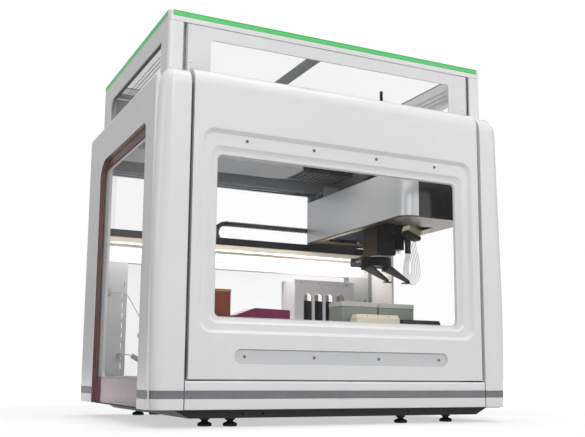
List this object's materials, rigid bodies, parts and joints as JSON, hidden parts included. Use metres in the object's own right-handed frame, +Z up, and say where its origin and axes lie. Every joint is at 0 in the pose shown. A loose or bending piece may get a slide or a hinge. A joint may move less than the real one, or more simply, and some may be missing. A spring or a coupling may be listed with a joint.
{
  "type": "liquid handling robot",
  "caption": "Enclosed benchtop liquid handling robot with a lifting windowed front door, a bridge arm, a turning plate gripper and a row of pipetting probes.",
  "frame": {"origin": "on the bench, under the middle of the body", "axes": "+X to the instrument's right seen from the front, +Y to the back, +Z up; the door faces -Y"},
  "size_m": [1.12, 0.81, 1.12],
  "materials": {
    "black_steel": "textured black powder coat",
    "foot_rubber": "moulded rubber",
    "anodised": "satin anodised",
    "white_shell": "satin white moulded shell",
    "stripe_metal": "brushed",
    "pale_frame": "satin paint",
    "tinted_acrylic": "polished rose-brown acrylic",
    "white_paint": "satin paint",
    "clear_pane": "polished clear acrylic",
    "grey_sheet": "satin paint",
    "rail_steel": "ground steel",
    "light_diffuser": "opal diffuser",
    "dark_sheet": "black oxide",
    "chain_plastic": "moulded nylon",
    "grey_frame": "satin paint",
    "duct_rubber": "ribbed rubber",
    "filter_media": "pleated media",
    "green_light": "lit green diffuser",
    "black_plastic": "moulded",
    "brown_plastic": "moulded polypropylene",
    "magenta_plastic": "moulded translucent plastic",
    "rack_plastic": "moulded polypropylene",
    "cream_plastic": "moulded polypropylene",
    "sensor_plastic": "moulded",
    "screw_steel": "darkened steel",
    "grip_plastic": "fine grained",
    "brushed_cover": "satin sheet",
    "cap_plastic": "dark smoked plastic",
    "bronze_sheet": "champagne anodised",
    "blue_grey_paint": "satin paint",
    "black_anodised": "black anodised",
    "manifold_plastic": "machined polymer",
    "clear_tube": "translucent tube",
    "bronze_column": "bronze anodised"
  },
  "bodies": {
    "frame": {"base_chassis": "black_steel", "levelling_feet": "foot_rubber", "deck_plate": "anodised", "front_trim": "white_shell", "accent_stripes": "stripe_metal", "left_corner_post": "white_shell", "right_corner_post": "white_shell", "left_side_panel": "white_shell", "right_side_panel": "white_shell", "inner_frames": "pale_frame", "side_windows": "tinted_acrylic", "rear_panel": "white_paint", "rear_window": "clear_pane", "service_plate": "grey_sheet", "rear_columns": "grey_sheet", "rear_beam": "white_paint", "x_rails": "rail_steel", "light_bar": "light_diffuser", "chain_tray": "dark_sheet", "energy_chain": "chain_plastic", "main_frame": "grey_frame", "ceiling_duct": "grey_sheet", "flexible_duct": "duct_rubber", "door_guides": "anodised", "door_balancers": "grey_frame", "canopy_frame": "white_paint", "canopy_front_panel": "white_paint", "canopy_windows": "clear_pane", "canopy_rear_panel": "white_paint", "exhaust_filters": "filter_media", "roof_cap": "white_shell", "status_light": "green_light", "service_module": "grey_sheet", "pump_cartridges": "black_plastic", "deck_positioners": "anodised", "tip_box": "brown_plastic", "reagent_tray": "magenta_plastic", "tube_racks": "rack_plastic", "reagent_troughs": "cream_plastic", "side_sensor": "sensor_plastic"},
    "switch": {"power_switch": "black_plastic"},
    "door": {"door_shell": "white_shell", "door_window": "clear_pane", "door_screws": "screw_steel", "grip_plate": "grip_plastic", "door_runners": "dark_sheet"},
    "bridge": {"arm_beam": "anodised", "arm_cover": "brushed_cover", "arm_front_cap": "cap_plastic", "arm_underside": "bronze_sheet", "arm_carriage": "blue_grey_paint"},
    "pod": {"pod_frame": "black_anodised", "tubing_manifold": "manifold_plastic", "tubing_loops": "clear_tube"},
    "probes": {"probe_head": "black_anodised"},
    "gripper_lift": {"gripper_column": "bronze_column"},
    "gripper": {"gripper_body": "black_anodised"},
    "left_finger": {"finger_left": "black_anodised"},
    "right_finger": {"finger_right": "black_anodised"}
  },
  "joints": [
    {"name": "door_lift", "type": "slide", "parent": "frame", "child": "door", "axis": [0, 0, 1], "range_m": [0, 0.48]},
    {"name": "bridge_x", "type": "slide", "parent": "frame", "child": "bridge", "axis": [1, 0, 0], "range_m": [-0.69, 0.02], "deforming": ["energy_chain"]},
    {"name": "pod_y", "type": "slide", "parent": "bridge", "child": "pod", "axis": [0, 1, 0], "range_m": [-0.02, 0.18]},
    {"name": "probes_z", "type": "slide", "parent": "pod", "child": "probes", "axis": [0, 0, 1], "range_m": [-0.15, 0]},
    {"name": "gripper_z", "type": "slide", "parent": "pod", "child": "gripper_lift", "axis": [0, 0, 1], "range_m": [-0.15, 0]},
    {"name": "gripper_turn", "type": "hinge", "parent": "gripper_lift", "child": "gripper", "pos_m": [0.3355, -0.027, 0.51], "axis": [0, 0, 1], "range_deg": [-90, 0]},
    {"name": "finger_left_x", "type": "slide", "parent": "gripper", "child": "left_finger", "axis": [1, 0, 0], "range_m": [-0.008, 0.005]},
    {"name": "finger_right_x", "type": "slide", "parent": "gripper", "child": "right_finger", "axis": [1, 0, 0], "range_m": [-0.005, 0.008]},
    {"name": "switch_rock", "type": "hinge", "parent": "frame", "child": "switch", "pos_m": [0.273, 0.394, 0.192], "axis": [1, 0, 0], "range_deg": [-8, 8]}
  ],
  "couplings": [
    {"joint": "finger_right_x", "follows": "finger_left_x", "ratio": -1}
  ]
}
